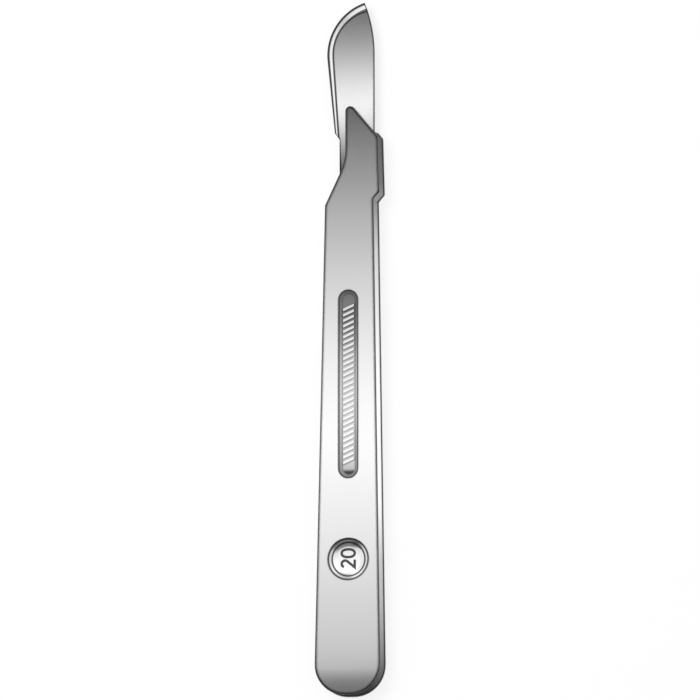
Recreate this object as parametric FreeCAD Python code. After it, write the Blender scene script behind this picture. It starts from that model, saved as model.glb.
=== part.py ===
import FreeCAD, Part
import math
import os

# A scalpel: a flat steel handle, and the curved blade locked on its bayonet fitment.
# It lies on its back face, with its numbered front face up.
# +Y runs along the scalpel towards the blade's tip, +X towards the blade's blunt spine and
# +Z out of the front face. Sizes are in millimetres. While the pieces are drawn, Y is 0 at
# the butt end, X is 0 on the middle of the butt and Z is 0 on the back face.

# Handle blank, seen from the front
body_length = 105.7             # butt end to the shoulder where the neck starts
butt_width = 14.74              # between the two long edges, carried on to the butt end
butt_radius = 6.6
shoulder_x = 5.0                # butt's middle line to the shoulder, on the cutting edge's side
shoulder_radius = 0.6           # over twice edge_break, or the rim would shrink to a point
handle_thickness = 4.0
edge_break = 0.25               # rounding of the long edges, front and back

# Neck, tongue and guard, which carry the blade
neck_angle = 25.6               # the neck's slope against the long axis
neck_radius = 12.0
tongue_thickness = 1.8
tongue_margin = 0.6             # metal of the tongue beside the lug
nose_radius = 1.1
nose_angle = 39.5               # the nose's slope against the long axis
nose_past_lug = 2.9             # the nose's slope beyond the lug's end, on the lug's middle
nose_corner_radius = 0.3        # where the nose's slope meets the guard
guard_width = 1.18              # at the nose's slope
guard_width_at_notch = 1.51
notch_above_shoulder = 0.9      # the root of the notch that ends the guard
notch_rise = 1.5
notch_root_radius = 0.25
notch_tip_radius = 0.25
notch_root_from_guard = 0.19    # notch root outside the guard's inner face
seat_above_notch = 0.9          # metal left between the notch's root and the blade's seat

# Blade
blade_length = 42.4             # tip to the heel's corner at the spine
blade_width = 10.5
blade_thickness = 0.4
spine_x = 5.55                  # butt's middle line to the blade's spine
belly_radius = 11.7
edge_lean = 5.85                # the straight stretch of the cutting edge, against the spine
edge_heel_from_tip = 28.3       # where the cutting edge ends, along Y
edge_heel_drop = 1.5            # the slanted step from the edge to the shank, along Y
shank_inset = 2.8               # the shank's edge inside the belly's widest point
tip_curve_radius = 30.5         # the spine's curve towards the tip
tip_curve_length = 11.3
heel_angle = 30.0               # the heel's slant against a square end
bevel_width = 1.38              # ground bevels of the cutting edge, along the belly
bevel_share_of_step = 0.72      # how much of the slanted step the bevels take in
edge_land = 0.03                # what the grinding leaves at the very edge

# Bayonet fitment: the lug on the tongue's back, and the blade's keyhole slot round it
lug_from_seat = 2.6             # the seat's shoulder to the lug's rear end, on the lug's middle
lug_length = 11.2
lug_wide_length = 3.4
lug_wide_width = 3.2
lug_narrow_width = 2.6
lug_step_length = 0.6           # where the wide part runs into the narrow one
lug_rear_radius = 0.9
lug_front_flat = 0.3            # straight piece in the middle of the narrow part's round end
lug_height = 0.85               # how far the lug's head stands above the blade
lug_taper_length = 1.7
lug_tip_width = 1.3
lug_ramp_length = 2.6           # the lead-in ramp, over which the blade rides
lug_ramp_drop = 0.45            # what the ramp takes off the head at its tip
lug_root = 0.5                  # how far the lug's solid reaches into the tongue
slot_beyond_lug = 0.9           # free slot in front of the lug
slot_clearance = 0.06           # lug to slot, on each side
groove_clearance = 0.05         # blade to the overhang of the lug's head
seat_clearance = 0.1            # spine to guard, and heel to shoulder

# Ribbed grip recess, one in each face
recess_x = 0.19                 # the recesses' middle line, from the butt's middle line
grip_centre_y = 66.8
grip_length = 40.7
grip_width = 4.3
grip_depth = 0.7
grip_wall_run = 0.88            # the sloping wall's width in plan
rib_row_from_end = 3.8          # the recess's end to the middle of the first rib
rib_pitch = 1.182
rib_angle = 23.4                # each rib's rise towards the spine's side
rib_root_width = 0.86
rib_crest_width = 0.5
rib_height = 0.42
rib_end_gap = 0.08              # rib to the foot of the sloping wall

# Round dish for the size number, in the front face only
dish_centre_y = 29.05
dish_radius = 4.57
dish_wall_run = 0.82            # the sloping wall's width in plan
dish_wall_depth = 0.32
dish_floor_sag = 0.22           # the floor's middle below its rim

cutter_margin = 1.0             # how far cutting bodies reach beyond what they cut


def slope(degrees):
    """Run per unit of length of a line that leans by an angle."""
    return math.tan(math.radians(degrees))


# Levels and places that follow from the sizes above
tongue_back_z = handle_thickness - tongue_thickness
blade_back_z = tongue_back_z - blade_thickness
lug_head_z = blade_back_z - lug_height
grip_floor_z = handle_thickness - grip_depth

butt_half = butt_width / 2
guard_inner_x = spine_x + seat_clearance
notch_root_x = guard_inner_x + notch_root_from_guard
notch_root_y = body_length + notch_above_shoulder
seat_y = notch_root_y + seat_above_notch
heel_y = seat_y + seat_clearance / math.cos(math.radians(heel_angle))
tip_y = heel_y + blade_length

shank_width = blade_width - shank_inset
shank_x = spine_x - shank_width
lug_x = spine_x - shank_width / 2
lug_rear_y = seat_y + (guard_inner_x - lug_x) * slope(heel_angle) + lug_from_seat
lug_front_y = lug_rear_y + lug_length

tongue_x = lug_x - lug_wide_width / 2 - tongue_margin
neck_corner_y = body_length + (tongue_x + shoulder_x) / slope(neck_angle)
nose_corner_x = guard_inner_x + guard_width
nose_on_lug_y = lug_front_y + nose_past_lug
nose_corner_y = nose_on_lug_y - (nose_corner_x - lug_x) / slope(nose_angle)
nose_point_y = nose_on_lug_y + (lug_x - tongue_x) / slope(nose_angle)


def point(x, y, z=0.0):
    return FreeCAD.Vector(x, y, z)


def rounded_outline(corners, z=0.0):
    """Closed outline with straight sides, each corner (x, y, radius) rounded by its radius."""
    places = [point(x, y, z) for x, y, radius in corners]
    ends = []
    for i, (x, y, radius) in enumerate(corners):
        here = places[i]
        inward = (places[i - 1] - here).normalize()
        onward = (places[(i + 1) % len(places)] - here).normalize()
        half = inward.getAngle(onward) / 2
        if radius == 0:
            ends.append((here, here, here))
            continue
        reach = radius / math.tan(half)
        centre = here + (inward + onward).normalize() * (radius / math.sin(half))
        middle = centre + (here - centre).normalize() * radius
        ends.append((here + inward * reach, middle, here + onward * reach))
    edges = []
    for i, (start, middle, end) in enumerate(ends):
        if start != end:
            edges.append(Part.Arc(start, middle, end).toShape())
        edges.append(Part.makeLine(end, ends[(i + 1) % len(ends)][0]))
    return Part.Wire(edges)


def both_sides(side, middle_x, z):
    """Closed outline from the corners of its right half, mirrored about a middle line."""
    right = [(middle_x + x, y, radius) for x, y, radius in side]
    left = [(middle_x - x, y, radius) for x, y, radius in reversed(side)]
    return rounded_outline(right + left, z)


def plate(outline, height):
    """Solid that stands on a flat closed outline."""
    return Part.Face(outline).extrude(point(0, 0, height))


def handle_outline():
    """The blank as stamped: long body, flared neck, tongue with its nose, guard and notch."""
    return rounded_outline([
        (-butt_half, 0, butt_radius),
        (-shoulder_x, body_length, shoulder_radius),
        (tongue_x, neck_corner_y, neck_radius),
        (tongue_x, nose_point_y, nose_radius),
        (nose_corner_x, nose_corner_y, nose_corner_radius),
        (guard_inner_x + guard_width_at_notch, notch_root_y + notch_rise, notch_tip_radius),
        (notch_root_x, notch_root_y, notch_root_radius),
        (butt_half, 0, butt_radius),
    ])


def handle_blank():
    """The blank at its full thickness, with the rims of its two faces rounded."""
    blank = plate(handle_outline(), handle_thickness)
    rims = [edge for face in blank.Faces for edge in face.Edges
            if abs(face.normalAt(0, 0).z) > 0.5]
    return blank.makeFillet(edge_break, rims)


def seat_cutter():
    """What is milled off the back, so that the blade lies on the tongue beside the guard."""
    left = -butt_half - cutter_margin
    top = nose_point_y + cutter_margin
    shoulder_rise = (guard_inner_x - left) * slope(heel_angle)
    outline = rounded_outline([
        (guard_inner_x, seat_y, 0),
        (guard_inner_x, top, 0),
        (left, top, 0),
        (left, seat_y + shoulder_rise, 0),
    ], -cutter_margin)
    return plate(outline, tongue_back_z + cutter_margin)


def keyhole(clearance, front_y, z):
    """Plan of the fitment, wide at the rear and narrow in front, grown by a clearance."""
    wide = lug_wide_width / 2 + clearance
    narrow = lug_narrow_width / 2 + clearance
    step_y = lug_rear_y + lug_wide_length + clearance
    return both_sides([
        (wide, lug_rear_y - clearance, lug_rear_radius),
        (wide, step_y, 0),
        (narrow, step_y + lug_step_length, 0),
        (narrow, front_y, narrow - lug_front_flat / 2),
    ], lug_x, z)


def lug():
    """The bayonet lug: a keyhole-shaped neck, under a head that overhangs its narrow part."""
    neck = plate(keyhole(0, lug_front_y, lug_head_z), tongue_back_z + lug_root - lug_head_z)
    head_outline = both_sides([
        (lug_wide_width / 2, lug_rear_y, lug_rear_radius),
        (lug_wide_width / 2, lug_front_y - lug_taper_length, 0),
        (lug_tip_width / 2, lug_front_y, 0),
    ], lug_x, lug_head_z)
    head = plate(head_outline, lug_height - groove_clearance)
    return neck.fuse(head).cut(ramp_cutter())


def ramp_cutter():
    """What is ground off the head's front, so that the blade can ride up over it."""
    side = lug_x - lug_wide_width
    start = lug_front_y - lug_ramp_length
    end = lug_front_y + cutter_margin
    fall = lug_ramp_drop * (end - start) / lug_ramp_length
    profile = Part.makePolygon([
        point(side, start, lug_head_z - cutter_margin),
        point(side, start, lug_head_z),
        point(side, end, lug_head_z + fall),
        point(side, end, lug_head_z - cutter_margin),
        point(side, start, lug_head_z - cutter_margin),
    ])
    return Part.Face(profile).extrude(point(2 * lug_wide_width, 0, 0))


def grip_outline(inset, z):
    """The recess's outline with its half-round ends, drawn in by an inset all round."""
    half = grip_width / 2 - inset
    straight = (grip_length - grip_width) / 2
    right, left = recess_x + half, recess_x - half
    top, bottom = grip_centre_y + straight, grip_centre_y - straight
    return Part.Wire([
        Part.makeLine(point(right, bottom, z), point(right, top, z)),
        Part.Arc(point(right, top, z), point(recess_x, top + half, z),
                 point(left, top, z)).toShape(),
        Part.makeLine(point(left, top, z), point(left, bottom, z)),
        Part.Arc(point(left, bottom, z), point(recess_x, bottom - half, z),
                 point(right, bottom, z)).toShape(),
    ])


def grip_rib(y):
    """One slanted rib of trapezium section, drawn longer than the recess is wide."""
    root, crest = rib_root_width / 2, rib_crest_width / 2
    below, top = grip_floor_z - cutter_margin, grip_floor_z + rib_height
    profile = Part.makePolygon([
        point(-grip_width, -root, below),
        point(-grip_width, -root, grip_floor_z),
        point(-grip_width, -crest, top),
        point(-grip_width, crest, top),
        point(-grip_width, root, grip_floor_z),
        point(-grip_width, root, below),
        point(-grip_width, -root, below),
    ])
    rib = Part.Face(profile).extrude(point(2 * grip_width, 0, 0))
    rib.rotate(point(0, 0, 0), point(0, 0, 1), rib_angle)
    rib.translate(point(recess_x, y, 0))
    return rib


def grip_cutter():
    """What is pressed out of the front face: a recess with sloping walls, less its ribs."""
    overcut = grip_wall_run * cutter_margin / grip_depth
    mouth = grip_outline(-overcut, handle_thickness + cutter_margin)
    foot = grip_outline(grip_wall_run, grip_floor_z)
    hollow = Part.makeLoft([foot, mouth], True, True)
    rib_room = plate(grip_outline(grip_wall_run + rib_end_gap, grip_floor_z), rib_height)
    row = grip_length - 2 * rib_row_from_end
    rib_count = round(row / rib_pitch) + 1
    first_y = grip_centre_y - rib_pitch * (rib_count - 1) / 2
    ribs = [grip_rib(first_y + i * rib_pitch).common(rib_room) for i in range(rib_count)]
    return hollow.cut(Part.makeCompound(ribs))


def to_back(shape):
    """The same cut, made into the back face."""
    return shape.mirror(point(0, 0, handle_thickness / 2), point(0, 0, 1))


def dish_cutter():
    """The round dish that frames the number: a sloping wall, and a floor that sags."""
    rim = dish_radius - dish_wall_run
    rim_z = handle_thickness - dish_wall_depth
    centre_z = rim_z - dish_floor_sag
    floor_radius = (rim ** 2 + dish_floor_sag ** 2) / (2 * dish_floor_sag)
    half_angle = math.asin(rim / floor_radius) / 2
    halfway = point(floor_radius * math.sin(half_angle), 0,
                    centre_z + floor_radius * (1 - math.cos(half_angle)))
    top_z = handle_thickness + cutter_margin
    top_x = dish_radius + dish_wall_run * cutter_margin / dish_wall_depth
    profile = Part.Wire([
        Part.Arc(point(0, 0, centre_z), halfway, point(rim, 0, rim_z)).toShape(),
        Part.makeLine(point(rim, 0, rim_z), point(top_x, 0, top_z)),
        Part.makeLine(point(top_x, 0, top_z), point(0, 0, top_z)),
        Part.makeLine(point(0, 0, top_z), point(0, 0, centre_z)),
    ])
    dish = Part.Face(profile).revolve(point(0, 0, 0), point(0, 0, 1), 360)
    dish.translate(point(recess_x, dish_centre_y, 0))
    return dish


def make_handle():
    """The blank with its seat, lug, two grip recesses and number dish."""
    grip = grip_cutter()
    handle = handle_blank().cut(seat_cutter()).fuse(lug())
    for cutter in (grip, to_back(grip), dish_cutter()):
        handle = handle.cut(cutter)
    return handle.removeSplitter()


def tangent_from(place, centre, radius):
    """Where the line from a place touches a circle, on the side of the cutting edge."""
    away = place - centre
    bearing = math.atan2(away.y, away.x) - math.acos(radius / away.Length)
    return centre + point(math.cos(bearing), math.sin(bearing)) * radius


def crossing(belly, belly_r, curve, curve_r):
    """Where the belly's circle meets the circle of the spine's curve, at the tip."""
    axis = curve - belly
    span = axis.Length
    axis.normalize()
    along = (belly_r ** 2 - curve_r ** 2 + span ** 2) / (2 * span)
    across = math.sqrt(belly_r ** 2 - along ** 2)
    return belly + axis * along + point(axis.y, -axis.x) * across


def arc_between(start, end, centre, radius):
    """Arc from one place to another round a centre, the short way."""
    middle = centre + ((start + end) / 2 - centre).normalize() * radius
    return Part.Arc(start, middle, end).toShape()


def blade_outline(z, ground=False):
    """The blade in plan. Ground, it is drawn in by the bevels, along the cutting edge."""
    curve = point(spine_x - tip_curve_radius, tip_y - tip_curve_length)
    tip_x = curve.x + math.sqrt(tip_curve_radius ** 2 - tip_curve_length ** 2)
    belly_x = spine_x - blade_width + belly_radius
    belly = point(belly_x, tip_y - math.sqrt(belly_radius ** 2 - (belly_x - tip_x) ** 2))

    lean = math.radians(edge_lean)
    edge_heel_y = tip_y - edge_heel_from_tip
    below_belly = belly.y - edge_heel_y
    edge_heel_x = belly.x - (belly_radius - below_belly * math.sin(lean)) / math.cos(lean)
    edge_heel = point(edge_heel_x, edge_heel_y)
    step_end = point(shank_x, edge_heel_y - edge_heel_drop)
    radius = belly_radius
    if ground:
        radius = belly_radius - bevel_width
        edge_heel = edge_heel + (step_end - edge_heel) * bevel_share_of_step

    edge_top = tangent_from(edge_heel, belly, radius)
    tip = crossing(belly, radius, curve, tip_curve_radius)
    curve_start = point(spine_x, curve.y)
    heel_corner = point(spine_x, heel_y)
    shank_end = point(shank_x, heel_y + shank_width * slope(heel_angle))
    outline = Part.Wire([
        Part.makeLine(edge_heel, edge_top),
        arc_between(edge_top, tip, belly, radius),
        arc_between(tip, curve_start, curve, tip_curve_radius),
        Part.makeLine(curve_start, heel_corner),
        Part.makeLine(heel_corner, shank_end),
        Part.makeLine(shank_end, step_end),
        Part.makeLine(step_end, edge_heel),
    ])
    outline.translate(point(0, 0, z))
    return outline


def make_blade():
    """The stamped strip, with a bevel ground on each side of its edge, and its slot."""
    middle_z = blade_back_z + blade_thickness / 2
    blade = plate(blade_outline(middle_z - edge_land / 2), edge_land)
    for side in (-1, 1):
        edge_level = blade_outline(middle_z + side * edge_land / 2)
        face_level = blade_outline(middle_z + side * blade_thickness / 2, ground=True)
        blade = blade.fuse(Part.makeLoft([edge_level, face_level], True, True))
    slot = keyhole(slot_clearance, lug_front_y + slot_beyond_lug, blade_back_z - cutter_margin)
    slot_cutter = plate(slot, blade_thickness + 2 * cutter_margin)
    return blade.cut(slot_cutter).removeSplitter()


def main():
    """Build both pieces, move the origin below the middle of the whole, and write them."""
    pieces = {"handle": make_handle(), "blade": make_blade()}
    boxes = [shape.optimalBoundingBox(False, False) for shape in pieces.values()]
    whole = boxes[0].united(boxes[1])
    os.makedirs("parts", exist_ok=True)
    for name, shape in pieces.items():
        shape.translate(point(-whole.Center.x, -whole.Center.y, -whole.ZMin))
        solid = shape.Solids[0]
        print(name, "volume", round(solid.Volume, 1), "mm3, valid", solid.isValid())
        solid.exportStep("parts/" + name + ".step")
    print("whole", round(whole.XLength, 2), "x", round(whole.YLength, 2), "x", round(whole.ZLength, 2))
    return pieces


pieces = main()
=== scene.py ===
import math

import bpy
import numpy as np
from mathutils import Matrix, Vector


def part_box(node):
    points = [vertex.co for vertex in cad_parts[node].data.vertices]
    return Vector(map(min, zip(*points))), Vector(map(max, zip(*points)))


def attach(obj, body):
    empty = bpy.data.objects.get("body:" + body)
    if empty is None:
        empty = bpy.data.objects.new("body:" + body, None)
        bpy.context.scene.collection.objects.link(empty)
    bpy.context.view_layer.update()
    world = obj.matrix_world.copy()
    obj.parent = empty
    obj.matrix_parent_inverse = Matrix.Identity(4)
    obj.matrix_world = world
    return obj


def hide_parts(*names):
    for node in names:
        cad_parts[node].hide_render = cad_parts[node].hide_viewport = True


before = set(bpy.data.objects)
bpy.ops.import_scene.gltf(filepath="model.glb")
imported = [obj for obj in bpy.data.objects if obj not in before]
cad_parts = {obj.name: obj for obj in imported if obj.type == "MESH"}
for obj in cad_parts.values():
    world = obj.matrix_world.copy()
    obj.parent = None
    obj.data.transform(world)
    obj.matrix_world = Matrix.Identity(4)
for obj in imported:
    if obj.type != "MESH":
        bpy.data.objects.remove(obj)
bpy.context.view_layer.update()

# %% [markdown]
# # A scalpel, dressed for its picture
#
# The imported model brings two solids: a flat steel handle and the thin blade locked on it. Their
# sizes and places are right, so this script changes neither. It gives them smooth shading and
# their real finishes, adds the size number in its dish, and sets up the floor, the light and the
# camera. Everything is in metres, with +Y towards the blade's tip and +Z out of the front face.

MM = 0.001
MICRON = 0.001 * MM
ROOT = "root"
scene = bpy.context.scene
handle_low, handle_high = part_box("handle")
blade_low, blade_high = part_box("blade")
print("handle", [round(v / MM, 2) for v in handle_high - handle_low], "mm")
print("blade", [round(v / MM, 2) for v in blade_high - blade_low], "mm")

# %% [markdown]
# ## The camera
#
# The picture looks down on a scalpel that lies flat. The thin strip of side wall that shows on the
# right and below tells from where: a little from the spine's side and from the butt. The lens is
# long, so the handle's sides stay as parallel as they are. The camera comes first, because the
# light is worked out from it later.

# %% Where the camera stands
CAMERA_SIDE = math.radians(14)        # towards the spine's side
CAMERA_TILT = math.radians(8)         # towards the butt
CAMERA_DISTANCE = 1.5
AIM = np.array([0.080, -0.640, 2.0]) * MM

towards_camera = np.array([math.sin(CAMERA_SIDE) * math.cos(CAMERA_TILT), -math.sin(CAMERA_TILT),
                           math.cos(CAMERA_SIDE) * math.cos(CAMERA_TILT)])
camera_place = AIM + towards_camera * CAMERA_DISTANCE
print("camera at", camera_place.round(3), "m")

# %% Camera
PICTURE_WIDTH = 150.25 * MM           # what the picture takes in at the scalpel
SENSOR_WIDTH = 36                     # in millimetres, as the lens is
FARTHEST_SEEN = 10

picture_right = np.cross((0, 1, 0), towards_camera)
picture_right /= np.linalg.norm(picture_right)
pose = np.eye(4)
pose[:3, 0] = picture_right
pose[:3, 1] = np.cross(towards_camera, picture_right)
pose[:3, 2] = towards_camera
pose[:3, 3] = camera_place

camera_data = bpy.data.cameras.new("camera")
camera_data.sensor_width = SENSOR_WIDTH
camera_data.lens = SENSOR_WIDTH * CAMERA_DISTANCE / PICTURE_WIDTH
camera_data.clip_end = FARTHEST_SEEN
camera = bpy.data.objects.new("camera", camera_data)
camera.matrix_world = Matrix(pose.tolist())
scene.collection.objects.link(camera)
scene.camera = camera
scene.view_settings.view_transform = "Standard"
print("lens", round(camera_data.lens, 1), "mm")

# %% [markdown]
# ## Colours and nodes
#
# A colour picker shows sRGB values, but shaders add up light, which needs linear values. One
# function turns a hex colour into linear light. Another adds a node: each of its inputs gets a
# plain value or the output that feeds it, so that a material reads as a short list.

# %% Colour helper
def linear(hex_colour):
    """sRGB hex to linear RGBA: c/12.92 near black, ((c + 0.055) / 1.055) to the power 2.4 above."""
    channels = np.array([int(hex_colour[i:i + 2], 16) for i in (1, 3, 5)]) / 255
    light = np.where(channels <= 0.04045, channels / 12.92, ((channels + 0.055) / 1.055) ** 2.4)
    return (*(float(v) for v in light), 1.0)


WHITE = linear("#FFFFFF")
print("the mid grey #808080 is", round(linear("#808080")[0], 3), "in linear light")

# %% Node helpers
def add_node(tree, kind, inputs=(), **settings):
    """Adds one node, sets its own settings, and fills or links the inputs that are named. An
    input that shares its name with others, as in Math and Mix nodes, is given by its number."""
    node = tree.nodes.new(kind)
    for name, value in settings.items():
        setattr(node, name, value)
    for name, value in dict(inputs).items():
        if isinstance(value, bpy.types.NodeSocket):
            tree.links.new(value, node.inputs[name])
        else:
            node.inputs[name].default_value = value
    return node


def empty_material(name):
    """A material with nothing in it but its output."""
    material = bpy.data.materials.new(name)
    material.use_nodes = True
    material.node_tree.nodes.clear()
    output = add_node(material.node_tree, "ShaderNodeOutputMaterial")
    print("material", name)
    return material, material.node_tree, output

# %% [markdown]
# Bright metal has hardly a look of its own. It shows what it faces, and that changes along the scalpel,
# from dark at both ends to bright in the middle. Several lights, and the painted light and shade in the
# grip's greys, are therefore lists of places and levels along Y, which one colour ramp joins up.

# %% Levels along the scalpel
def graduated(tree, steps, ends=None):
    """The steps' levels along Object Y. A step is a place in millimetres and a level. The steps lie
    at their own places, or else in proportion between the two ends that are given."""
    start, end = ends or (steps[0][0] * MM, steps[-1][0] * MM)
    place = add_node(tree, "ShaderNodeTexCoord").outputs["Object"]
    along = add_node(tree, "ShaderNodeMapRange", {
        "Value": add_node(tree, "ShaderNodeSeparateXYZ", {"Vector": place}).outputs["Y"],
        "From Min": start, "From Max": end})
    ramp = add_node(tree, "ShaderNodeValToRGB", {"Fac": along.outputs[0]})
    stops = ramp.color_ramp.elements
    while len(stops) < len(steps):
        stops.new(0.5)
    for stop, (where, amount) in zip(stops, steps):
        stop.position = (where - steps[0][0]) / (steps[-1][0] - steps[0][0])
        stop.color = (amount, amount, amount, 1.0)
    print("  ", len(steps), "levels from", round(start / MM, 1), "to", round(end / MM, 1), "mm along")
    return ramp.outputs["Color"]

# %% [markdown]
# ## Stainless steel, satin and ground
#
# The handle is hardened stainless steel, pressed and then tumbled with fine stones. That leaves a
# grey metal with a soft sheen: no line of brushing shows, but a fine grain breaks up the gloss.
# The recesses stay duller, because the stones can't reach into them. The blade is ground
# lengthwise and polished, so it mirrors more sharply. A metal has no colour of its own under the
# gloss, so its grey is only how much it mirrors.
#
# Six numbers on each mesh tell the material where it is. They are worked out further down.
#
# - "edge" is 1 on broken or stamped edges.
# - "wall" runs from 1 at the top of a recess's sloping wall to -1 at its foot.
# - "slope" is 1 on the grip's sloping wall.
# - "gap" is 1 on the grip's ground between the ribs, and on the ribs' flanks.
# - "edge_shade_reach" is how far the painted shade line along an edge reaches onto the face beside it,
#   as a share.
# - "bowl" is 1 on the dish's floor, whose grey is painted lighter than the face's: painted light.

# %% Names of the marks
MARKS = ("edge", "wall", "slope", "gap", "edge_shade_reach", "bowl")
print(len(MARKS), "marks:", ", ".join(MARKS))

# %% [markdown]
# A fine dark line is painted along every edge: painted shade, where a rounded edge turns away from the
# light. It covers the narrow broken edge itself, and a strip of the face beside it. The broken edge is
# marked on the mesh. The strip would need cuts in the mesh, but the Bevel node finds it without any: it
# gives the normal that the surface would have if its edges were rounded by a radius, and where that
# normal leans away from the true one, an edge is near. Along the side walls the strip is much narrower.

# %% Painted shade along the edges
FACE_LINE = 1.18 * MM         # how far an edge's painted shade is looked for on the faces
WALL_LINE = 0.12 * MM         # and on the side walls
WALL_TO_FACE = (0.4, 0.9)     # the upward part of the normal, from side wall to face
BESIDE_EDGE = (0.998, 0.982)  # the cosine of the rounded normal's lean, from no line to full line
EDGE_TURN = (0.45, 0.95)      # the upward part of the normal, from a broken edge's side to its top
EDGE_SIDE = 0.05              # how dark a broken edge is where it turns down into the side wall
BEVEL_SAMPLES = 8


def painted_edge_shade(tree, marks, facing):
    """The painted shade on a broken edge: its mark times a share that grows with the normal's upward
    part. Then the painted shade beside an edge, from the dot product of the rounded and the true
    normal."""
    upward = add_node(tree, "ShaderNodeSeparateXYZ", {"Vector": facing}).outputs["Z"]
    upward = add_node(tree, "ShaderNodeMath", {0: upward}, operation="ABSOLUTE").outputs[0]
    share = add_node(tree, "ShaderNodeMapRange", {
        "Value": upward, "From Min": EDGE_TURN[0], "From Max": EDGE_TURN[1], "To Min": EDGE_SIDE})
    broken = add_node(tree, "ShaderNodeMath", {0: marks["edge"], 1: share.outputs[0]},
                      operation="MULTIPLY")
    reach = add_node(tree, "ShaderNodeMapRange", {
        "Value": upward, "From Min": WALL_TO_FACE[0], "From Max": WALL_TO_FACE[1],
        "To Min": WALL_LINE, "To Max": FACE_LINE})
    reach = add_node(tree, "ShaderNodeMath", {0: reach.outputs[0], 1: marks["edge_shade_reach"]},
                     operation="MULTIPLY")
    rounded = add_node(tree, "ShaderNodeBevel", {"Radius": reach.outputs[0]}, samples=BEVEL_SAMPLES)
    alike = add_node(tree, "ShaderNodeVectorMath", {0: rounded.outputs[0], 1: facing},
                     operation="DOT_PRODUCT")
    beside = add_node(tree, "ShaderNodeMapRange", {
        "Value": alike.outputs["Value"], "From Min": BESIDE_EDGE[0], "From Max": BESIDE_EDGE[1]})
    return [broken.outputs[0], beside.outputs[0]]


print("burnish up to", round(FACE_LINE / MM, 2), "mm onto the faces")

# %% [markdown]
# The creases of a recess get painted shade as well: a dark line round the mouth of its sloping wall,
# and a fainter one at the foot of the grip's wall.

# %% Painted shade in the creases
MOUTH = (0.25, 0.55)          # the wall's mark, from the line's lower side to its full darkness
MOUTH_DARKNESS = 0.74
FOOT = (-0.30, -0.60)
FOOT_DARKNESS = 0.15


def painted_crease_shade(tree, marks):
    """Smooth steps of the wall's mark, one up to the mouth and one down to the grip wall's foot."""
    mouth = add_node(tree, "ShaderNodeMapRange", {
        "Value": marks["wall"], "From Min": MOUTH[0], "From Max": MOUTH[1],
        "To Max": MOUTH_DARKNESS}, interpolation_type="SMOOTHSTEP")
    foot = add_node(tree, "ShaderNodeMapRange", {
        "Value": marks["wall"], "From Min": FOOT[0], "From Max": FOOT[1],
        "To Max": FOOT_DARKNESS}, interpolation_type="SMOOTHSTEP")
    foot = add_node(tree, "ShaderNodeMath", {0: foot.outputs[0], 1: marks["slope"]},
                    operation="MULTIPLY")
    return [mouth.outputs[0], foot.outputs[0]]


print("mouth line", MOUTH_DARKNESS, "dark, foot line", FOOT_DARKNESS)

# %% [markdown]
# The grip's matt walls and ground scatter the light, so they don't mirror the reflector above the
# handle as its face does. Their greys are painted light and shade instead, with steps of their own:
# dark at the grip's end towards the blade, light in its middle, and darker again towards the butt,
# where the ground gets a painted shadow.

# %% Greys of the steel, some with painted light and shade
STEEL_GREY = "#D8D8D8"
# the grey of all the painted shade lines: along the edges, in the creases, in the dish's rings and at
# the bevel's foot
PAINTED_SHADE_GREY = "#404040"
# the dish's floor is painted a lighter grey than the face: painted light
BOWL_PAINTED_LIGHT = "#ECECEC"
# place along the handle in mm, and the painted light and shade on the grip's sloping walls there
SLOPE_PAINTED_LIGHT = [
    (12, 0.19), (4.7, 0.35), (1.2, 0.46), (-2.2, 0.61), (-5.7, 0.68), (-9.2, 0.75), (-12.6, 0.75),
    (-16, 0.70), (-19.5, 0.62), (-23, 0.55), (-25, 0.50), (-29, 0.30)]
# and the same for the ground between its ribs, with a painted shadow at the grip's end towards the butt
GAP_PAINTED_LIGHT = [
    (12, 0.19), (4.7, 0.34), (1.2, 0.50), (-2.2, 0.65), (-5.7, 0.72), (-9.2, 0.77), (-12.6, 0.79),
    (-19.5, 0.79), (-23, 0.77), (-25, 0.72), (-26.5, 0.60), (-27.1, 0.08), (-29, 0.08)]


def steel_grey(tree, marks, dark):
    """The face's grey, over which each next tone is mixed by its mark: (1 - mark) x grey + mark x
    tone. In a colour Mix, input 0 is the mark, 6 and 7 are the two colours, and output 2 is theirs."""
    # the grip's greys and the dish's lighter grey are painted light and shade, and the dark grey is
    # painted shade on the lines
    tones = [(marks["slope"], graduated(tree, SLOPE_PAINTED_LIGHT)),
             (marks["gap"], graduated(tree, GAP_PAINTED_LIGHT)),
             (marks["bowl"], linear(BOWL_PAINTED_LIGHT)),
             (dark, linear(PAINTED_SHADE_GREY))]
    grey = linear(STEEL_GREY)
    for mark, tone in tones:
        grey = add_node(tree, "ShaderNodeMix", {0: mark, 6: grey, 7: tone},
                        data_type="RGBA").outputs[2]
    return grey


print("greys", STEEL_GREY, "on faces,", BOWL_PAINTED_LIGHT, "in the dish,", PAINTED_SHADE_GREY, "on edges")

# %% [markdown]
# Two noises make the finish. The fine one is the grain, as long as it is wide on the tumbled
# handle and drawn out along the ground blade. The slow one is how evenly the finish came out.

# %% Roughness of the steel
GRAIN = 0.16 * MM        # the marks of the stones, drawn coarse enough to show
GRAIN_DETAIL = 3.0
CLOUD = 9 * MM           # slow changes in how bright the finish came out
CLOUD_DETAIL = 2.0
NOISE_SUM = (0.6, 1.4)   # where the sum of the two noises mostly lies
SPREAD = 0.02            # how far the roughness wanders to both sides
DULLER = 0.12            # how much rougher the painted shade lines are
MATT = 0.40              # how much rougher the recess is


def grain(tree, place, stretch):
    """Fine noise on a scale that is stretched along Y."""
    drawn = add_node(tree, "ShaderNodeMapping", {"Vector": place, "Scale": (1, 1 / stretch, 1)})
    return add_node(tree, "ShaderNodeTexNoise", {
        "Vector": drawn.outputs[0], "Scale": 1 / GRAIN, "Detail": GRAIN_DETAIL}).outputs["Fac"]


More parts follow.
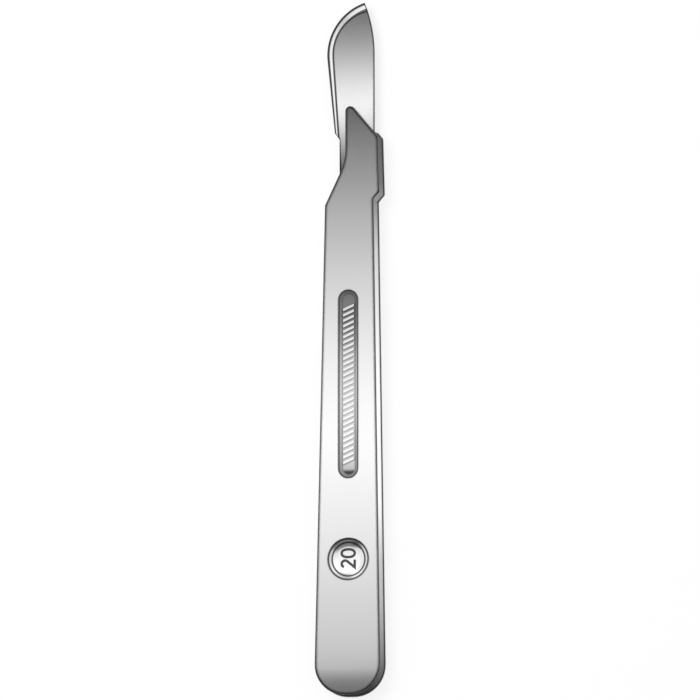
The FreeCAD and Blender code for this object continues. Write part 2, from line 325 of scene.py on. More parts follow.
def steel_roughness(tree, place, marks, dark, fine, roughness):
    """The finish's roughness, plus or minus its spread by the noises' sum, plus darkness x DULLER,
    plus (slope + gap) x MATT."""
    slow = add_node(tree, "ShaderNodeTexNoise", {
        "Vector": place, "Scale": 1 / CLOUD, "Detail": CLOUD_DETAIL})
    both = add_node(tree, "ShaderNodeMath", {0: fine, 1: slow.outputs["Fac"]})
    rough = add_node(tree, "ShaderNodeMapRange", {
        "Value": both.outputs[0], "From Min": NOISE_SUM[0], "From Max": NOISE_SUM[1],
        "To Min": roughness - SPREAD, "To Max": roughness + SPREAD})
    recess = add_node(tree, "ShaderNodeMath", {0: marks["slope"], 1: marks["gap"]})
    for mark, more in ((dark, DULLER), (recess.outputs[0], MATT)):
        rough = add_node(tree, "ShaderNodeMath", {0: mark, 1: more, 2: rough.outputs[0]},
                         operation="MULTIPLY_ADD")
    return rough.outputs[0]


print("grain of", round(GRAIN / MM, 2), "mm, clouds of", round(CLOUD / MM, 1), "mm")

# %% [markdown]
# One function makes both steels. Where painted shade lines meet, the darkest counts, so that a crossing
# comes out no darker than the lines are. What differs between the two steels is passed to it: the
# roughness, the grain, how the faces lean, and painted shade lines of its own.

# %% Steel
def steel(name, roughness, stretch, grain_height, lean, painted_lines):
    """Metal with the grain as a shallow bump on its leaned normal, (normal + lean) / its length. Lean
    gives what is added to the normal at a place, and painted_lines how dark its own painted shade lines
    are there."""
    material, tree, output = empty_material(name)
    place = add_node(tree, "ShaderNodeTexCoord").outputs["Object"]
    facing = add_node(tree, "ShaderNodeNewGeometry").outputs["Normal"]
    marks = {mark: add_node(tree, "ShaderNodeAttribute", attribute_name=mark).outputs["Fac"]
             for mark in MARKS}
    dark = painted_lines(tree, place)
    for line in painted_edge_shade(tree, marks, facing) + painted_crease_shade(tree, marks):
        dark = add_node(tree, "ShaderNodeMath", {0: dark, 1: line}, operation="MAXIMUM").outputs[0]
    fine = grain(tree, place, stretch)
    leaned = add_node(tree, "ShaderNodeVectorMath", {0: facing, 1: lean(tree, place)})
    leaned = add_node(tree, "ShaderNodeVectorMath", {0: leaned.outputs[0]}, operation="NORMALIZE")
    bump = add_node(tree, "ShaderNodeBump", {
        "Height": fine, "Distance": grain_height, "Normal": leaned.outputs[0]})
    surface = add_node(tree, "ShaderNodeBsdfPrincipled", {
        "Base Color": steel_grey(tree, marks, dark), "Metallic": 1.0,
        "Roughness": steel_roughness(tree, place, marks, dark, fine, roughness),
        "Normal": bump.outputs[0]})
    tree.links.new(surface.outputs[0], output.inputs["Surface"])
    print("  ", len(tree.nodes), "nodes")
    return material


# %% [markdown]
# Hardly any hand-finished face is truly flat. The polishing wheel rolls over the butt's last
# millimetres, the dish's floor turns up softly into its wall, and a locked blade sits a few
# degrees nose-down. The solids keep these places plain, and the material leans the normals there
# instead, because bright metal shows a slope mostly by what it mirrors.

# %% How faces lean
DISH_CENTRE = np.array([0.163, -45.958]) * MM
ROLL_START = -69.3 * MM
ROLL_END = -75.0 * MM
ROLL_LEAN = -0.07             # the leans are shares of the normal's length
TURN_START = 2.1 * MM         # from the dish's middle
TURN_END = 3.7 * MM
TURN_LEAN = -0.36
BLADE_LEAN = 0.115


def handle_lean(tree, place):
    """At the butt, a lean along Y that grows evenly from the roll's start to its end. On the
    dish's floor, the direction away from its middle times a lean that grows with the distance."""
    y = add_node(tree, "ShaderNodeSeparateXYZ", {"Vector": place}).outputs["Y"]
    roll = add_node(tree, "ShaderNodeMapRange", {
        "Value": y, "From Min": ROLL_START, "From Max": ROLL_END, "To Max": ROLL_LEAN})
    roll = add_node(tree, "ShaderNodeCombineXYZ", {"Y": roll.outputs[0]})
    outward = add_node(tree, "ShaderNodeVectorMath", {0: place, 1: (*DISH_CENTRE.tolist(), 0)},
                       operation="SUBTRACT")
    outward = add_node(tree, "ShaderNodeVectorMath", {0: outward.outputs[0], 1: (1, 1, 0)},
                       operation="MULTIPLY")
    reach = add_node(tree, "ShaderNodeVectorMath", {0: outward.outputs[0]}, operation="LENGTH")
    turn = add_node(tree, "ShaderNodeMapRange", {
        "Value": reach.outputs["Value"], "From Min": TURN_START, "From Max": TURN_END,
        "To Max": TURN_LEAN}, interpolation_type="SMOOTHSTEP")
    bowl = add_node(tree, "ShaderNodeAttribute", attribute_name="bowl").outputs["Fac"]
    turn = add_node(tree, "ShaderNodeMath", {0: turn.outputs[0], 1: bowl}, operation="MULTIPLY")
    outward = add_node(tree, "ShaderNodeVectorMath", {0: outward.outputs[0]}, operation="NORMALIZE")
    turned = add_node(tree, "ShaderNodeVectorMath", {0: outward.outputs[0], "Scale": turn.outputs[0]},
                      operation="SCALE")
    both = add_node(tree, "ShaderNodeVectorMath", {0: roll.outputs[0], 1: turned.outputs[0]})
    return both.outputs[0]


def blade_lean(tree, place):
    """The same lean towards the tip everywhere."""
    return (0, BLADE_LEAN, 0)


for what, lean in (("butt", ROLL_LEAN), ("dish floor", TURN_LEAN), ("blade", BLADE_LEAN)):
    print(what, "leans up to", round(math.degrees(math.atan(abs(lean))), 1), "degrees")

# %% [markdown]
# Two sets of dark lines are painted shade: in the dish, a ring at the foot of its wall and one on its
# rim, and on the blade a line where the bevel begins, along the belly's arc and then straight on to the
# heel. Both are drawn from their own circles and lines, so they stay sharp however coarse the mesh is.

# %% A painted shade line
LINE_DARKNESS = 0.95
LINE_SIDES = (1.4, 0.6)             # from no line to full line, as shares of its half width


def painted_shade_line(tree, away, half_width):
    """The line's darkness on it and 0 beside it, from the distance to its middle."""
    away = add_node(tree, "ShaderNodeMath", {0: away}, operation="ABSOLUTE")
    return add_node(tree, "ShaderNodeMapRange", {
        "Value": away.outputs[0], "From Min": LINE_SIDES[0] * half_width,
        "From Max": LINE_SIDES[1] * half_width, "To Max": LINE_DARKNESS}).outputs[0]


# the tool lines are painted shade lines
print("tool lines", LINE_DARKNESS, "dark")

# %% Painted shade rings in the dish
RING_RADII = (3.60 * MM, 4.36 * MM)    # at the foot and at the rim of the dish's wall
RING_LINE = 0.18 * MM                  # half the width of each ring
FRONT_ONLY = 3 * MM                    # the dish is above this height, and the back stays plain


def dish_ring_shade(tree, place):
    """Two circles: the distance from each is the distance from the dish's middle minus a radius."""
    flat = add_node(tree, "ShaderNodeVectorMath", {0: place, 1: (1, 1, 0)}, operation="MULTIPLY")
    reach = add_node(tree, "ShaderNodeVectorMath", {
        0: flat.outputs[0], 1: (*DISH_CENTRE.tolist(), 0)}, operation="DISTANCE")
    rings = []
    for radius in RING_RADII:
        away = add_node(tree, "ShaderNodeMath", {0: reach.outputs["Value"], 1: radius},
                        operation="SUBTRACT")
        rings.append(painted_shade_line(tree, away.outputs[0], RING_LINE))
    both = add_node(tree, "ShaderNodeMath", {0: rings[0], 1: rings[1]}, operation="MAXIMUM")
    height = add_node(tree, "ShaderNodeSeparateXYZ", {"Vector": place}).outputs["Z"]
    front = add_node(tree, "ShaderNodeMath", {0: height, 1: FRONT_ONLY}, operation="GREATER_THAN")
    return add_node(tree, "ShaderNodeMath", {0: both.outputs[0], 1: front.outputs[0]},
                    operation="MULTIPLY").outputs[0]


print("rings", [round(2 * radius / MM, 2) for radius in RING_RADII], "mm across")

# %% Painted shade line at the bevel's foot
BEVEL_LINE = 0.22 * MM                  # half its width
BELLY_CENTRE = np.array([5.695, 63.94]) * MM
BELLY_RADIUS = 9.288 * MM
RUN_START = np.array([-3.60, 63.16]) * MM
RUN_ANGLE = math.radians(3.95)


def bevel_foot_shade(tree, place):
    """Beside the belly the distance is length(p - centre) - radius. Past the arc's end, where
    (p - start) . onward is over 0, it is the distance (p - start) . across from the straight run."""
    flat = add_node(tree, "ShaderNodeVectorMath", {0: place, 1: (1, 1, 0)}, operation="MULTIPLY")
    from_centre = add_node(tree, "ShaderNodeVectorMath", {
        0: flat.outputs[0], 1: (*BELLY_CENTRE.tolist(), 0)}, operation="DISTANCE")
    arc = add_node(tree, "ShaderNodeMath", {0: from_centre.outputs["Value"], 1: BELLY_RADIUS},
                   operation="SUBTRACT")
    from_start = add_node(tree, "ShaderNodeVectorMath", {
        0: flat.outputs[0], 1: (*RUN_START.tolist(), 0)}, operation="SUBTRACT")
    across = (-math.cos(RUN_ANGLE), -math.sin(RUN_ANGLE), 0)
    onward = (math.sin(RUN_ANGLE), -math.cos(RUN_ANGLE), 0)
    run = add_node(tree, "ShaderNodeVectorMath", {0: from_start.outputs[0], 1: across},
                   operation="DOT_PRODUCT")
    past = add_node(tree, "ShaderNodeVectorMath", {0: from_start.outputs[0], 1: onward},
                    operation="DOT_PRODUCT")
    past = add_node(tree, "ShaderNodeMath", {0: past.outputs["Value"], 1: 0.0},
                    operation="GREATER_THAN")
    away = add_node(tree, "ShaderNodeMix", {
        0: past.outputs[0], 2: arc.outputs[0], 3: run.outputs["Value"]})
    return painted_shade_line(tree, away.outputs[0], BEVEL_LINE)


# the wheel line is the painted shade line at the bevel's foot
print("wheel line on a radius of", round(BELLY_RADIUS / MM, 2), "mm round the belly")

# %% The two finishes
# stainless steel, tumbled satin: it blurs what it mirrors, the same in every direction
satin_steel = steel("satin_stainless_steel", roughness=0.20, stretch=1,
                    grain_height=0.25 * MICRON, lean=handle_lean, painted_lines=dish_ring_shade)
# stainless steel, ground lengthwise and polished: sharper mirroring, with fine long streaks
ground_steel = steel("ground_stainless_blade", roughness=0.16, stretch=12,
                     grain_height=0.15 * MICRON, lean=blade_lean, painted_lines=bevel_foot_shade)

# %% [markdown]
# ## The two steel pieces
#
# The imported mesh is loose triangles, so its rounded rims look faceted. A copy with its doubles
# merged can be shaded smooth. A plain average of the faces round a corner would bend the light
# across the wide flat faces, though, so the faces are weighed: all triangles of one plane count
# together, and the wide plane wins over the narrow rim beside it. Faces that meet at more than
# the crease angle aren't averaged, which keeps the rims of the recesses crisp. The blade's crease
# angle is smaller than its bevel's slope, so the bevel stays flat and sharp to its foot.

# %% Measures of a mesh
def measure(mesh):
    """Each triangle's normal and area, its three vertices, and the vertices' places."""
    normal = np.empty(len(mesh.polygons) * 3)
    mesh.polygons.foreach_get("normal", normal)
    area = np.empty(len(mesh.polygons))
    mesh.polygons.foreach_get("area", area)
    vertex = np.empty(len(mesh.loops), int)
    mesh.loops.foreach_get("vertex_index", vertex)
    points = np.empty(len(mesh.vertices) * 3)
    mesh.vertices.foreach_get("co", points)
    return normal.reshape(-1, 3), area, vertex.reshape(-1, 3), points.reshape(-1, 3)


for node in ("handle", "blade"):
    print(node, "surface", round(measure(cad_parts[node].data)[1].sum() / MM ** 2), "mm2")

# %% Normals of the corners
HANDLE_CREASE = math.radians(13.5)
BLADE_CREASE = math.radians(5)
NORMAL_STEPS = 2000                  # triangles whose normals agree to 1/2000
HEIGHT_STEP = 2 * MICRON             # and whose planes' heights agree to this are one plane


def corner_normals(mesh, crease):
    """One normal a corner: the sum of (normal x area of its whole plane) over the faces that share
    the corner's vertex and lean away from the corner's own face by less than the crease angle."""
    normal, area, vertex, points = measure(mesh)
    height = (normal * points[vertex[:, 0]]).sum(1)
    plane = np.column_stack([np.round(normal * NORMAL_STEPS), np.round(height / HEIGHT_STEP)])
    plane = np.unique(plane, axis=0, return_inverse=True)[1].ravel()
    plane_area = np.bincount(plane, weights=area)[plane]
    corner_vertex = vertex.ravel()
    face = np.repeat(np.arange(len(vertex)), 3)
    order = np.argsort(corner_vertex, kind="stable")
    count = np.bincount(corner_vertex)
    first = np.concatenate([[0], np.cumsum(count)[:-1]])
    mates = count[corner_vertex[order]]
    here = np.repeat(order, mates)
    rank = np.arange(len(here)) - np.repeat(np.cumsum(mates) - mates, mates)
    there = order[np.repeat(first[corner_vertex[order]], mates) + rank]
    near = (normal[face[here]] * normal[face[there]]).sum(1) > math.cos(crease)
    share = np.where(near, plane_area[face[there]], 0)[:, None] * normal[face[there]]
    total = np.column_stack([np.bincount(here, weights=share[:, axis], minlength=len(face))
                             for axis in range(3)])
    print("  ", plane.max() + 1, "planes and facets,", len(face), "corners")
    return total / np.linalg.norm(total, axis=1, keepdims=True)

# %% [markdown]
# The marks for the material come from each triangle's tilt and place. On the handle, a tilted triangle
# within the rounding of a face is a broken edge, and one in the dish or the grip is a wall or a rib's
# flank. On the blade, the faces that look sideways are stamped edges, and the gently tilted ones are
# the ground bevel, beside which the painted edge shade is narrower.

# %% Inside the grip, inside the dish
GRIP_CENTRE = np.array([DISH_CENTRE[0], -8.208 * MM])
GRIP_LENGTH = 40.7 * MM
GRIP_WIDTH = 4.3 * MM
DISH_RADIUS = 4.57 * MM
HAIR = 0.01 * MM


def in_grip(points):
    """Points inside the grip's outline, a straight middle with half-round ends, grown a hair."""
    along = np.abs(points[..., 1] - GRIP_CENTRE[1]) - (GRIP_LENGTH - GRIP_WIDTH) / 2
    return np.hypot(points[..., 0] - GRIP_CENTRE[0], np.maximum(along, 0)) < GRIP_WIDTH / 2 + HAIR


def from_dish(points):
    """Distance from the dish's middle as seen from above."""
    return np.hypot(points[..., 0] - DISH_CENTRE[0], points[..., 1] - DISH_CENTRE[1])


print("grip", round(GRIP_LENGTH / MM, 1), "x", round(GRIP_WIDTH / MM, 1), "mm, dish",
      round(2 * DISH_RADIUS / MM, 2), "mm across")

# %% Marks on the handle
FLAT_TILT = 0.9999               # a tilt is the normal's upward part, and a flat face's is more
UPRIGHT_TILT = 0.02              # and a side wall's is less
GRIP_WALL_TILTS = (0.6, 0.9)
DISH_WALL_TILTS = (0.85, 0.97)
EDGE_BREAK = 0.25 * MM
GRIP_DEPTH = 0.7 * MM
DISH_WALL_DEPTH = 0.32 * MM
RIB_HEIGHT = 0.42 * MM
MOUTH_SHADE_REACH = 0.36             # round a recess, as a share of the painted shade line along the outline


def handle_marks(normal, corners):
    """Sorts the triangles by tilt, by place and by depth below the nearer face. A wall's mark is
    1 - 2 x depth / the wall's depth."""
    middle = corners.mean(1)
    depth = np.minimum(handle_high.z - corners[..., 2], corners[..., 2] - handle_low.z)
    tilt = np.abs(normal[:, 2])
    sloping = (tilt < FLAT_TILT) & (tilt > UPRIGHT_TILT)
    grip = in_grip(middle) & (depth.max(1) < GRIP_DEPTH + HAIR)
    dish = (from_dish(middle) < DISH_RADIUS) & (middle[:, 2] > FRONT_ONLY)
    grip_wall = grip & (tilt > GRIP_WALL_TILTS[0]) & (tilt < GRIP_WALL_TILTS[1])
    dish_wall = dish & (tilt > DISH_WALL_TILTS[0]) & (tilt < DISH_WALL_TILTS[1])
    crest = grip & ~sloping & (depth.max(1) < GRIP_DEPTH - RIB_HEIGHT + HAIR)
    mouth = in_grip(corners) | (from_dish(corners) < DISH_RADIUS + HAIR)
    wall = (1 - 2 * depth / GRIP_DEPTH) * grip_wall[:, None]
    wall += (1 - 2 * depth / DISH_WALL_DEPTH) * dish_wall[:, None]
    return {"edge": sloping & ~grip & ~dish & (depth.max(1) < EDGE_BREAK + HAIR),
            "wall": wall,
            "slope": grip_wall,
            "gap": grip & ~crest & ~grip_wall,
            "edge_shade_reach": np.where(mouth, MOUTH_SHADE_REACH, 1) * ~(grip | dish)[:, None],
            "bowl": dish & (tilt >= DISH_WALL_TILTS[1])}


print("broken edges", round(EDGE_BREAK / MM, 2), "mm, grip", round(GRIP_DEPTH / MM, 1), "mm deep")

# %% Marks on the blade
STAMPED_TILT = 0.5               # a stamped edge's is less
# how far the painted edge shade reaches on the blade's faces and on its bevel, as shares
BLADE_SHADE_REACH = 0.50
BEVEL_SHADE_REACH = 0.37


def blade_marks(normal, corners):
    """Sorts the triangles by tilt alone. The blade has no recess, so only two marks are needed."""
    tilt = np.abs(normal[:, 2])
    bevel = (tilt < FLAT_TILT) & (tilt > STAMPED_TILT)
    return {"edge": tilt <= STAMPED_TILT, "edge_shade_reach": np.where(bevel, BEVEL_SHADE_REACH, BLADE_SHADE_REACH)}


print("edge_shade_reach", BEVEL_SHADE_REACH, "on the bevel,", BLADE_SHADE_REACH, "on the blade's faces")

# %% [markdown]
# Each piece is a merged copy that stands for its imported solid and rides on the only body. Its marks
# are stored at the corners of the triangles and not at their vertices, so that a mark can end sharply
# along an edge.

# %% Marks and smooth copies
WELD_REACH = 0.1 * MICRON


def write_marks(mesh, marks):
    """Stores every mark as a number at each corner, and 0 for one that the piece hasn't got."""
    normal, _, vertex, points = measure(mesh)
    found = marks(normal, points[vertex])
    for name in MARKS:
        values = found.get(name, np.zeros(len(vertex)))
        values = np.broadcast_to(values.reshape(len(vertex), -1), vertex.shape).astype(np.float32)
        attribute = mesh.attributes.new(name, "FLOAT", "CORNER")
        attribute.data.foreach_set("value", np.ascontiguousarray(values.ravel()))
        print("  ", name, "on", int(np.count_nonzero(values.any(1))), "triangles")


def smooth_copy(node, material, marks, crease):
    """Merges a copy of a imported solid, shades it smooth between creases and swaps it in."""
    piece = bpy.data.objects.new(node + "_finished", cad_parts[node].data.copy())
    scene.collection.objects.link(piece)
    weld = piece.modifiers.new("weld", "WELD")
    weld.merge_threshold = WELD_REACH
    mesh = bpy.data.meshes.new_from_object(piece.evaluated_get(bpy.context.evaluated_depsgraph_get()))
    piece.modifiers.clear()
    piece.data = mesh
    mesh.materials.clear()
    mesh.materials.append(material)
    print(piece.name, len(mesh.vertices), "vertices", len(mesh.polygons), "faces")
    write_marks(mesh, marks)
    mesh.shade_smooth()
    mesh.normals_split_custom_set(corner_normals(mesh, crease).tolist())
    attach(piece, ROOT)
    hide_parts(node)


smooth_copy("handle", satin_steel, handle_marks, HANDLE_CREASE)
smooth_copy("blade", ground_steel, blade_marks, BLADE_CREASE)

# %% [markdown]
# ## The number's enamel
#
# The stamped number is filled with black enamel, baked and wiped off flush. It is dark grey
# rather than black, slightly glossy, and a little uneven where the wiping thinned it.

# %% Black enamel
WIPED_PATCH = 0.4 * MM
WIPED_DETAIL = 3.0
THICK_ENAMEL, THIN_ENAMEL = "#242425", "#464647"
ENAMEL_ROUGHNESS = 0.45
ENAMEL_IOR = 1.5

black_fill, tree, output = empty_material("wiped_black_enamel")
place = add_node(tree, "ShaderNodeTexCoord").outputs["Object"]
uneven = add_node(tree, "ShaderNodeTexNoise", {
    "Vector": place, "Scale": 1 / WIPED_PATCH, "Detail": WIPED_DETAIL})
shade = add_node(tree, "ShaderNodeValToRGB", {"Fac": uneven.outputs["Fac"]})
shade.color_ramp.elements[0].color = linear(THICK_ENAMEL)
shade.color_ramp.elements[1].color = linear(THIN_ENAMEL)
enamel = add_node(tree, "ShaderNodeBsdfPrincipled", {
    "Base Color": shade.outputs["Color"], "Roughness": ENAMEL_ROUGHNESS, "IOR": ENAMEL_IOR})
tree.links.new(enamel.outputs[0], output.inputs["Surface"])

# %% [markdown]
# ## The size number
#
# The number in the dish tells which blades the handle takes. Its place is the dish's floor, a
# shallow bowl. Text from a font would have to be bent to the bowl, so each stroke here is a
# ribbon: a centre line, a width to both sides, and a low crowned section. Its feet go into the
# steel and its crown stands a few hundredths of a millimetre proud, so it follows the bowl
# everywhere.

# %% Bowl
BOWL_RIM = 3.75 * MM
BOWL_RIM_Z = 3.68 * MM
BOWL_SAG = 0.22 * MM
BOWL_RADIUS = (BOWL_RIM ** 2 + BOWL_SAG ** 2) / (2 * BOWL_SAG)


def bowl_height(x, y):
    """The dish floor: its lowest point plus R - sqrt(R^2 - r^2), r from the dish's middle."""
    reach = (x - DISH_CENTRE[0]) ** 2 + (y - DISH_CENTRE[1]) ** 2
    return BOWL_RIM_Z - BOWL_SAG + BOWL_RADIUS - np.sqrt(BOWL_RADIUS ** 2 - reach)


print("bowl's lowest point at", round(bowl_height(*DISH_CENTRE) / MM, 2), "mm")

# %% Stroke
STROKE_WIDTH = 0.56 * MM
PROUD = 0.025 * MM
BURIED = 0.06 * MM
# the section from foot to foot: a share of the half width, and the height above the floor
SECTION = [(1, -BURIED), (1, 0.3 * PROUD), (0.8, 0.9 * PROUD), (0, PROUD),
           (-0.8, 0.9 * PROUD), (-1, 0.3 * PROUD), (-1, -BURIED)]


def ribbon(line, closed):
    """A stroke along a flat centre line: at each point the sideways direction is the mean of its
    two runs' left normals, lengthened at a bend so that the width stays even."""
    before = line - np.roll(line, 1, axis=0)
    after = np.roll(line, -1, axis=0) - line
    if not closed:
        before[0], after[-1] = after[0], before[-1]
    sides = [np.column_stack([-run[:, 1], run[:, 0]]) / np.linalg.norm(run, axis=1)[:, None]
             for run in (before, after)]
    side = (sides[0] + sides[1]) / (1 + (sides[0] * sides[1]).sum(1))[:, None]
    across, lift = np.array(SECTION).T
    across = across * STROKE_WIDTH / 2
    flat = line[:, None, :] + side[:, None, :] * across[None, :, None]
    height = bowl_height(flat[..., 0], flat[..., 1]) + lift[None, :]
    points = np.concatenate([flat, height[..., None]], axis=2).reshape(-1, 3)
    rows, columns = len(line), len(across)
    i, j = np.meshgrid(np.arange(rows if closed else rows - 1), np.arange(columns), indexing="ij")
    onward, right = (i + 1) % rows, (j + 1) % columns
    faces = np.stack([i * columns + j, i * columns + right, onward * columns + right,
                      onward * columns + j], axis=-1).reshape(-1, 4).tolist()
    if not closed:
        faces += [list(range(columns))[::-1], [(rows - 1) * columns + k for k in range(columns)]]
    print("stroke of", rows, "points,", "closed" if closed else "open")
    return points, faces

# %% [markdown]
# The nought is a superellipse, which is a little squarer than an ellipse. The two is an arc, a
# slanted run and a foot, whose corner stays sharp.

# %% Nought
ROUNDNESS = 2.3                  # 2 is an ellipse, more is squarer
NOUGHT_POINTS = 64

turn = np.linspace(0, 2 * math.pi, NOUGHT_POINTS, endpoint=False)
power = 2 / ROUNDNESS
nought = 0.5 + 0.5 * np.column_stack([np.sign(wave) * np.abs(wave) ** power
                                      for wave in (np.cos(turn), np.sin(turn))])
print("nought from", nought.min(0).round(2), "to", nought.max(0).round(2), "of the digit's box")

# %% Two
BOW_CENTRE = (0.47, 0.74)        # shares of the digit's width and height
BOW_SIZE = (0.43, 0.26)
BOW_START, BOW_END = 160, -38    # degrees
BOW_POINTS = 22

bow = np.radians(np.linspace(BOW_START, BOW_END, BOW_POINTS))
bow = np.column_stack([BOW_CENTRE[0] + BOW_SIZE[0] * np.cos(bow),
                       BOW_CENTRE[1] + BOW_SIZE[1] * np.sin(bow)])
two = np.concatenate([bow, [[0.0, 0.0], [1.0, 0.0]]])
print("two of", len(two), "points")

# %% Where the digits go
DIGIT_HEIGHT = 2.86 * MM         # of the centre line, as the width is
DIGIT_WIDTH = 1.66 * MM
DIGIT_STEP = 2.22 * MM
FIRST_DIGIT_Y = -1.76 * MM       # from the dish's middle
WORD_SHIFT = 0.10 * MM           # towards the cutting edge's side


def placed(glyph, start_y):
    """Glyph coordinates (along the word, up the digit; 0 to 1) to the handle's own: the word runs
    towards the blade, and the digits' tops face the cutting edge's side."""
    x = DISH_CENTRE[0] - WORD_SHIFT + DIGIT_HEIGHT * (0.5 - glyph[:, 1])
    y = DISH_CENTRE[1] + start_y + DIGIT_WIDTH * glyph[:, 0]
    return np.column_stack([x, y])


strokes = [ribbon(placed(two, FIRST_DIGIT_Y), False),
           ribbon(placed(nought, FIRST_DIGIT_Y + DIGIT_STEP), True)]

# %% The number as one piece
points = np.concatenate([stroke[0] for stroke in strokes])
faces = strokes[0][1] + [[index + len(strokes[0][0]) for index in face] for face in strokes[1][1]]
number_mesh = bpy.data.meshes.new("size_number")
number_mesh.from_pydata(points.tolist(), [], faces)
number_mesh.update()
number_mesh.materials.append(black_fill)
number = bpy.data.objects.new("size_number", number_mesh)
scene.collection.objects.link(number)
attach(number, ROOT)
print("number from", (points.min(0) / MM).round(2), "to", (points.max(0) / MM).round(2), "mm")

# %% [markdown]
# ## World and floor
#
# The scalpel lies on white paper under a pale sky. Paper that is lit to just below white keeps the
# scalpel's soft shadow. The camera sees the paper a share brighter, and the camera and mirrored
# rays see a white sky, by the Light Path node, so that the background is white without more light
# on the steel.

# %% World
FILL_LEVEL = 0.72        # of the sky, for the rays that light things


def background_share(tree):
    """1 for camera, glossy and transmission rays, and 0 for the rays that light things."""
    path = add_node(tree, "ShaderNodeLightPath")
    seen = path.outputs["Is Camera Ray"]
    for ray in ("Is Glossy Ray", "Is Transmission Ray"):
        seen = add_node(tree, "ShaderNodeMath", {0: seen, 1: path.outputs[ray]},
                        operation="MAXIMUM").outputs[0]
    return seen


world = bpy.data.worlds.new("pale_studio")
scene.world = world
world.use_nodes = True
world.node_tree.nodes.clear()
level = add_node(world.node_tree, "ShaderNodeMapRange", {
    "Value": background_share(world.node_tree), "To Min": FILL_LEVEL, "To Max": 1.0})
sky = add_node(world.node_tree, "ShaderNodeBackground", {
    "Color": WHITE, "Strength": level.outputs[0]})
add_node(world.node_tree, "ShaderNodeOutputWorld", {"Surface": sky.outputs[0]})
print("sky fills the shadows with", FILL_LEVEL, "of white")

# %% [markdown]
# Two things happen on the paper close to the scalpel. Under its rounded foot the paper gets no
# light, and a thin dark line shows there. The Ambient Occlusion node finds that narrow gap,
# because it measures how much of its surroundings a point sees. And the handle's side walls mirror
# the paper beside them. Even paper would make them evenly white, while the picture has them dark
# at both ends and bright in the middle, so mirrored rays find graduated light on the paper.

# %% Paper
GLOW_SHARE = 0.78                   # how much of the paper is plain white to the camera
CONTACT_REACH = 0.32 * MM           # how far the scalpel's foot darkens the paper beside it
CONTACT_POWER = 6
CONTACT_SAMPLES = 8

floor_paper, tree, output = empty_material("matt_white_paper")
contact = add_node(tree, "ShaderNodeAmbientOcclusion", {"Distance": CONTACT_REACH},
                   samples=CONTACT_SAMPLES)
open_paper = add_node(tree, "ShaderNodeMath", {0: contact.outputs["AO"], 1: CONTACT_POWER},
                      operation="POWER").outputs[0]
paper = add_node(tree, "ShaderNodeBsdfDiffuse", {"Color": linear("#FAFAFA")})
lit = add_node(tree, "ShaderNodeMixShader", {0: open_paper, 2: paper.outputs[0]})
glow = add_node(tree, "ShaderNodeEmission", {"Color": WHITE, "Strength": open_paper})
share = add_node(tree, "ShaderNodeMath", {0: background_share(tree), 1: GLOW_SHARE},
                 operation="MULTIPLY")
seen = add_node(tree, "ShaderNodeMixShader", {
    0: share.outputs[0], 1: lit.outputs[0], 2: glow.outputs[0]})

# %% Light on the paper for the side walls
# place along the handle in mm, and the share of the light that its side walls mirror there
WALL_STEPS = [
    (-130, 0.30), (-90, 0.03), (-75, 0.03), (-73, 0.07), (-70, 0.13), (-63, 0.28), (-55, 0.44),
    (-46, 0.54), (-34, 0.90), (-12, 0.98), (12, 0.74), (21, 0.60), (30, 0.30), (36, 0.16),
    (50, 0.09), (90, 0.3), (130, 0.66)]
WALL_LIGHT = 1.5

wall_levels = graduated(tree, WALL_STEPS)
brightness = add_node(tree, "ShaderNodeMath", {0: open_paper, 1: WALL_LIGHT}, operation="MULTIPLY")
wall_light = add_node(tree, "ShaderNodeEmission", {
    "Color": wall_levels, "Strength": brightness.outputs[0]})
mirrored = add_node(tree, "ShaderNodeLightPath").outputs["Is Glossy Ray"]
mixed = add_node(tree, "ShaderNodeMixShader", {
    0: mirrored, 1: seen.outputs[0], 2: wall_light.outputs[0]})
tree.links.new(mixed.outputs[0], output.inputs["Surface"])

# %% Floor
FLOOR_HALF = 2.5
FLOOR_GAP = 0.02 * MM               # a hair, so that two flat faces aren't in one plane


def flat_card(name, low_corner, high_corner, height, material):
    """A level rectangle, as part of the studio and not of the object."""
    (x0, y0), (x1, y1) = low_corner, high_corner
    mesh = bpy.data.meshes.new(name)
    mesh.from_pydata([(x0, y0, height), (x1, y0, height), (x1, y1, height), (x0, y1, height)],
                     [], [(0, 1, 2, 3)])
    mesh.materials.append(material)
    card = bpy.data.objects.new(name, mesh)
    scene.collection.objects.link(card)
    print(name, round((x1 - x0) / MM), "x", round((y1 - y0) / MM), "mm at", round(height / MM, 2), "mm")
    return card


flat_card("floor", (-FLOOR_HALF, -FLOOR_HALF), (FLOOR_HALF, FLOOR_HALF),
          handle_low.z - FLOOR_GAP, floor_paper)

# %% [markdown]
# ## Light
#
# Metal shows what it faces, so the light that matters here is what the flat face mirrors: a
# reflector a hand's breadth above it, seen by mirrored rays only. It is brightest over the middle
# of the handle, and dark over its nose and its butt. The steps are written as places on the
# handle, and a mirrored ray carries them up to the reflector. The blade leans forward, so it
# mirrors the steps that lie further on than it does: its root is bright and its tip is darker.

# %% From the handle up to the reflector
REFLECTOR_HEIGHT = 80 * MM
# place on the handle in mm, and the light that the reflector gives there
REFLECTOR_STEPS = [
    (-125, 0.20), (-80, 0.20), (-74.5, 0.22), (-71.5, 0.72), (-68, 0.88), (-60, 0.93), (-55, 0.96),
    (-46, 1.15), (-33, 1.31), (-22, 1.50), (-11, 1.42), (0, 1.22), (6, 1.09), (15, 0.92),
    (21, 0.77), (28, 0.64), (34, 0.49), (38.5, 0.39), (43, 0.30), (47, 0.21), (51.5, 0.06),
    (57, 0.0), (60.5, 0.16), (64, 0.90), (71, 1.75), (75, 1.20), (81, 0.68), (85, 0.43),
    (90, 0.20), (94, 0.08), (110, 0.06)]


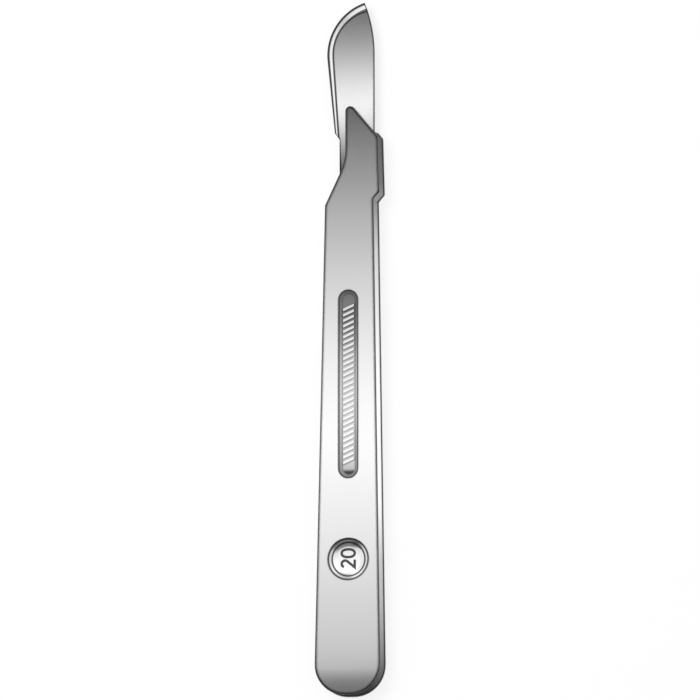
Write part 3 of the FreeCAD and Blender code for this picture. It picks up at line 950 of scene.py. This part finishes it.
def mirrored_y(handle_y):
    """Where the camera's ray goes on the reflector: away from the camera as it came, at the slope
    (y - camera y) / camera height."""
    return float(handle_y + REFLECTOR_HEIGHT * (handle_y - camera_place[1]) / camera_place[2])


REFLECTOR_START = mirrored_y(REFLECTOR_STEPS[0][0] * MM)
REFLECTOR_END = mirrored_y(REFLECTOR_STEPS[-1][0] * MM)
print("the middle of the handle mirrors", round(mirrored_y(0) / MM, 1), "mm along the reflector")

# %% Graduated reflector
REFLECTOR_LEFT, REFLECTOR_RIGHT = -45 * MM, 35 * MM

graduated_light, tree, output = empty_material("graduated_reflector")
light = add_node(tree, "ShaderNodeEmission", {
    "Color": graduated(tree, REFLECTOR_STEPS, (REFLECTOR_START, REFLECTOR_END))})
tree.links.new(light.outputs[0], output.inputs["Surface"])
reflector = flat_card("reflector", (REFLECTOR_LEFT, REFLECTOR_START),
                      (REFLECTOR_RIGHT, REFLECTOR_END), REFLECTOR_HEIGHT, graduated_light)

# %% [markdown]
# Faces that lean away mirror what lies beside that reflector. The blade's bevel leans towards its
# cutting edge, and round the belly towards the tip, so it mirrors two white strips there. The
# butt's rims lean towards their own end, and mirror a card that is nearly black, which keeps
# their lines dark.

# %% Strips for the bevel and a dark card for the butt
STRIP_LIGHT = 1.4
STRIP_START, STRIP_END = 20 * MM, 220 * MM
DARK_LIGHT = 0.03
DARK_START, DARK_END = -170 * MM, -82 * MM
CARDS_LEFT, DARK_RIGHT = -140 * MM, 60 * MM
LAYER = 1 * MM                      # the dark card is this much higher than the reflector

lights = {}
for name, strength in (("white_strip", STRIP_LIGHT), ("dark_end", DARK_LIGHT)):
    lights[name], tree, output = empty_material(name)
    light = add_node(tree, "ShaderNodeEmission", {"Color": WHITE, "Strength": strength})
    tree.links.new(light.outputs[0], output.inputs["Surface"])

side_strip = flat_card("bevel_strip", (CARDS_LEFT, STRIP_START), (REFLECTOR_LEFT, STRIP_END),
                       REFLECTOR_HEIGHT, lights["white_strip"])
tip_strip = flat_card("tip_strip", (REFLECTOR_LEFT, REFLECTOR_END), (REFLECTOR_RIGHT, STRIP_END),
                      REFLECTOR_HEIGHT, lights["white_strip"])
dark_card = flat_card("dark_card", (CARDS_LEFT, DARK_START), (DARK_RIGHT, DARK_END),
                      REFLECTOR_HEIGHT + LAYER, lights["dark_end"])

# %% Cards that only mirrored rays see
cards = (reflector, side_strip, tip_strip, dark_card)
for card in cards:
    card.visible_camera = False
    card.visible_diffuse = False
    card.visible_shadow = False
print(len(cards), "cards are hidden from the camera and cast no shadow")

# %% [markdown]
# A wide round lamp, like a window to the upper left, gives the soft shadow beside the scalpel.
# Mirrored rays don't see it, so it leaves no spot on the steel.

# %% Soft window
WINDOW_SIZE = 0.5
WINDOW_POWER = 3.5
WINDOW_PLACE = (-0.35, 0.35, 0.7)

window_data = bpy.data.lights.new("soft_window", "AREA")
window_data.shape = "DISK"
window_data.size = WINDOW_SIZE
window_data.energy = WINDOW_POWER
window = bpy.data.objects.new("soft_window", window_data)
window.location = WINDOW_PLACE
window.rotation_euler = window.location.to_track_quat("Z", "Y").to_euler()
window.visible_glossy = False
scene.collection.objects.link(window)
print("window", round(window.location.length, 2), "m away,", WINDOW_POWER, "W")
